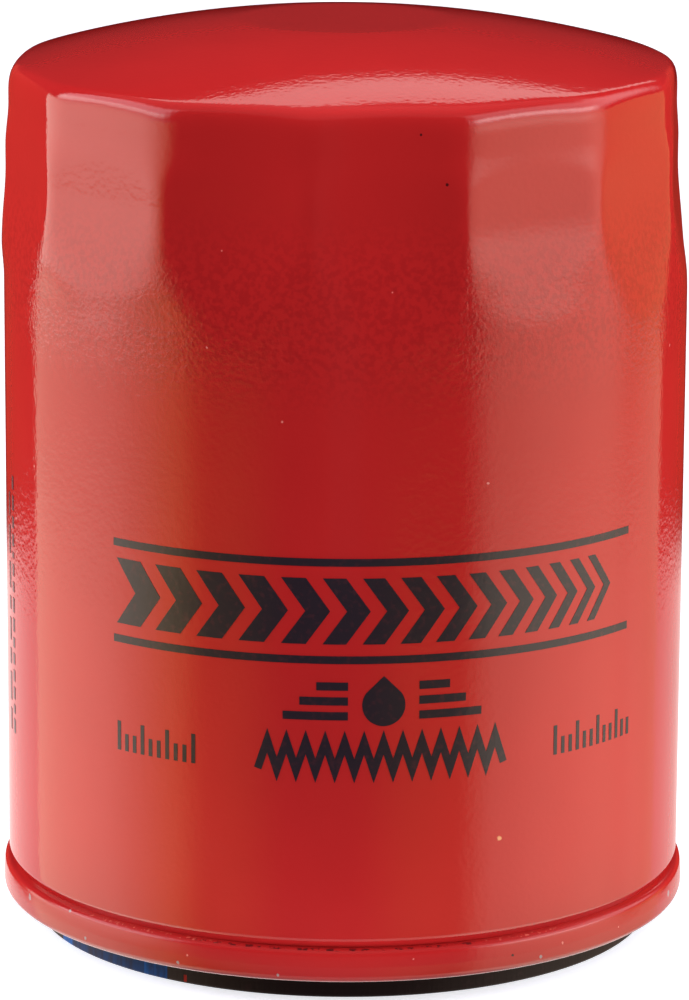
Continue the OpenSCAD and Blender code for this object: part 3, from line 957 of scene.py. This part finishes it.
def studio():
    """Soft boxes at both sides, a strip over the back and a dim ceiling, as one world.

    Each row is one light: its angles across (low, high and both edges' softness, in degrees from
    the front, growing towards +X), its elevations (low, high, softness), its level and its tint.
    """
    world = bpy.data.worlds.new("studio")
    bpy.context.scene.world = world
    world.use_nodes = True
    sky = Nodes(world.node_tree, "Generated")
    turn = sky.angle()
    rise = sky.math("DEGREES", sky.math("ARCSINE", sky.split()[2]))
    left, right, anywhere = (-181, -128, 1, 2), (133, 181, 4, 1), (-181, 181, 1, 1)
    behind = sky.math("SUBTRACT", sky.math("FLOORED_MODULO", turn, 360.0), 180.0)
    tilted = sky.math("SUBTRACT", rise, sky.math("MULTIPLY", behind, 0.4))
    rows = [
        # left box: its face, its orange edge, its foot and that foot's tail, its head, and two
        # lamps over it
        ((-128, -70, 1.5, 44), (-60, 10, 6), 1.5, (1.0, 0.88, 0.68)),
        ((-110, -70, 30, 44), (-60, 4, 4), 0.35, (1.0, 0.88, 0.68)),
        ((-75, -52, 40, 16), (-60, 4, 4), 0.74, (1.0, 0.62, 0.09)),
        ((-128, -70, 1.5, 44), (-60, -13.3, 1.5), 0.45, (1.0, 0.88, 0.74)),
        ((-68, -28, 20, 24), (-60, -12, 3), 0.32, (1.0, 0.75, 0.08)),
        ((-128, -60, 1.5, 30), (-10.5, 9, 1.5), 1.0, (1.0, 0.95, 0.95)),
        ((-114, -62, 8, 16), (11.5, 23, 8), 4.2, (1.0, 0.92, 0.9)),
        ((-114, -62, 8, 16), (21, 44, 12), 2.6, (1.0, 0.88, 0.95)),
        # right box, the same way, with an amber strip at its far side
        ((46, 106, 16, 16), (-60, 10, 6), 1.15, (1.0, 0.86, 0.58)),
        ((62, 100, 24, 24), (-60, 4, 4), 0.36, (1.0, 0.92, 0.72)),
        ((106, 133, 16, 4), (-60, -11.5, 2), 0.9, (1.0, 0.87, 0.6)),
        ((106, 133, 16, 4), (-11.5, 4, 2), 0.9, (1.0, 0.62, 0.24)),
        ((46, 120, 16, 16), (-60, -13.3, 1.5), 0.33, (1.0, 0.88, 0.74)),
        ((14, 48, 24, 12), (-60, -14, 4), 0.28, (1.0, 0.8, 0.12)),
        ((46, 104, 10, 16), (-12, 10, 4), 0.3, (1.0, 0.9, 0.8)),
        ((50, 92, 16, 20), (-3, 9, 8), 0.9, (1.0, 0.95, 0.9)),
        ((50, 98, 16, 16), (11.5, 23, 8), 4.2, (1.0, 0.9, 0.86)),
        ((50, 130, 16, 16), (12, 44, 12), 1.8, (1.0, 0.88, 0.9)),
        # low light past the boxes, a red glow over it, a ceiling, a dim horizon and the ground
        (left, (-60, -13.9, 1.0), 1.1, (1.25, 0.93, 0.9)),
        (right, (-60, -13.9, 1.0), 0.8, (1.25, 0.93, 0.88)),
        ((-166, -128, 4, 2), (-14, 10, 3), 0.5, (1.0, 0.11, 0.06)),
        ((131, 166, 2, 4), (-14, 10, 3), 0.4, (1.0, 0.1, 0.05)),
        ((-181, -166, 1, 4), (-14, -8, 2), 0.25, (1.0, 0.09, 0.05)),
        ((166, 181, 4, 1), (-14, -8, 2), 0.25, (1.0, 0.09, 0.05)),
        ((-181, -120, 1, 20), (2, 32, 12), 0.02, (1.0, 1.0, 1.0)),
        ((120, 181, 20, 1), (2, 32, 12), 0.02, (1.0, 1.0, 1.0)),
        (anywhere, (42, 95, 10), 0.2, (1.0, 0.97, 0.95)),
        (anywhere, (-60, -15, 4), 0.06, (1.0, 1.0, 1.0)),
        (anywhere, (-95, -34, 6), 0.9, (1.0, 0.97, 0.95))]
    lights = [glow(sky, turn, rise, *row) for row in rows]
    lights.append(glow(sky, behind, tilted, (-30, 24, 8, 8), (33.6, 40.6, 0.6), 1.2, (1.0, 1.0, 0.96)))
    total = lights[0]
    for light in lights[1:]:
        both = sky.node("ShaderNodeVectorMath", operation="ADD")
        sky.put(both.inputs[0], total)
        sky.put(both.inputs[1], light)
        total = both.outputs[0]
    seen = sky.node("ShaderNodeLightPath").outputs["Is Camera Ray"]
    color = sky.mix(seen, total, (0.99, 0.99, 0.99))
    sky.put(world.node_tree.nodes["Background"].inputs["Color"], color)


def floor():
    """Plain pale floor that the can's gasket stands on. It throws little light back up."""
    half = 3.0
    thrown = (0.16, 0.152, 0.152)
    mesh = bpy.data.meshes.new("floor")
    corners = [(-half, -half, 0), (half, -half, 0), (half, half, 0), (-half, half, 0)]
    mesh.from_pydata(corners, [], [(0, 1, 2, 3)])
    plane = bpy.data.objects.new("floor", mesh)
    bpy.context.scene.collection.objects.link(plane)
    look = Look("floor_card", (0.7, 0.76, 0.84), 0.9, Specular_IOR_Level=0.0)
    seen = look.node("ShaderNodeLightPath").outputs["Is Camera Ray"]
    pale = look.mix(look.noise(1.2 * MM, 3), (0.71, 0.77, 0.85), (0.73, 0.79, 0.87))
    look.surface.inputs["Emission Strength"].default_value = 0.72
    look.use(Emission_Color=look.mix(seen, (0, 0, 0), (0.93, 0.96, 1.0)))
    dress(plane, look.use(Base_Color=look.mix(seen, thrown, pale)))
    plane.visible_glossy = False


def card(name, place, facing, size, radiance):
    """A soft rectangular light that shows neither to the camera nor in reflections."""
    data = bpy.data.lights.new(name, "AREA")
    data.shape, data.size, data.size_y = "RECTANGLE", *size
    data.energy = size[0] * size[1] * math.pi * radiance
    light = bpy.data.objects.new(name, data)
    bpy.context.scene.collection.objects.link(light)
    light.location = place
    light.rotation_euler = Vector(facing).to_track_quat("-Z", "X").to_euler()
    light.visible_glossy = False
    light.visible_camera = False


def cards():
    """Fills: low before the wall, before its top, over the dome's front, at both sides and above."""
    card("floor_bounce", (0.0, -CAN_R - 0.016, 0.001), (0, 0, 1), (0.026, 0.14), 1.7)
    for side in (-1, 1):
        card("side_bounce", (side * 0.051, -0.025, 0.001), (0, 0, 1), (0.09, 0.024), 1.8)
    card("front_fill", (0.0, -0.049, 0.084), (0, 1, 0), (0.1, 0.006), 1.4)
    card("dome_fill", (0.0, -0.055, 0.125), (0, 0.5, -0.85), (0.06, 0.03), 0.65)
    card("left_fill", (-0.16, -0.04, 0.1), (1, 0, -0.3), (0.08, 0.08), 5.7)
    card("right_fill", (0.14, -0.045, 0.11), (-1, 0, -0.35), (0.08, 0.08), 4.5)
    card("ceiling_fill", (0.0, 0.04, 0.35), (0, 0, -1), (0.2, 0.2), 3.7)


def camera():
    """A long lens half a metre away that looks slightly down."""
    data = bpy.data.cameras.new("camera")
    eye = bpy.data.objects.new("camera", data)
    bpy.context.scene.collection.objects.link(eye)
    data.lens, data.sensor_width = 187.16, 36
    down, roll = math.radians(13.372), math.radians(0.318)
    eye.location = (0, -0.5063, 0.1622)
    aim = Matrix.Rotation(math.pi / 2 - down, 3, "X") @ Matrix.Rotation(roll, 3, "Z")
    eye.rotation_euler = aim.to_euler()
    bpy.context.scene.camera = eye


def main():
    bpy.context.scene.view_settings.view_transform = "Standard"
    camera()
    studio()
    floor()
    cards()
    can_skin()
    seam_lid()
    gasket()
    thread_plate()
    drainback_valve()
    pleated_paper()
    springs()
    dress_cad_nodes()
    front_print()
    side_print()


main()
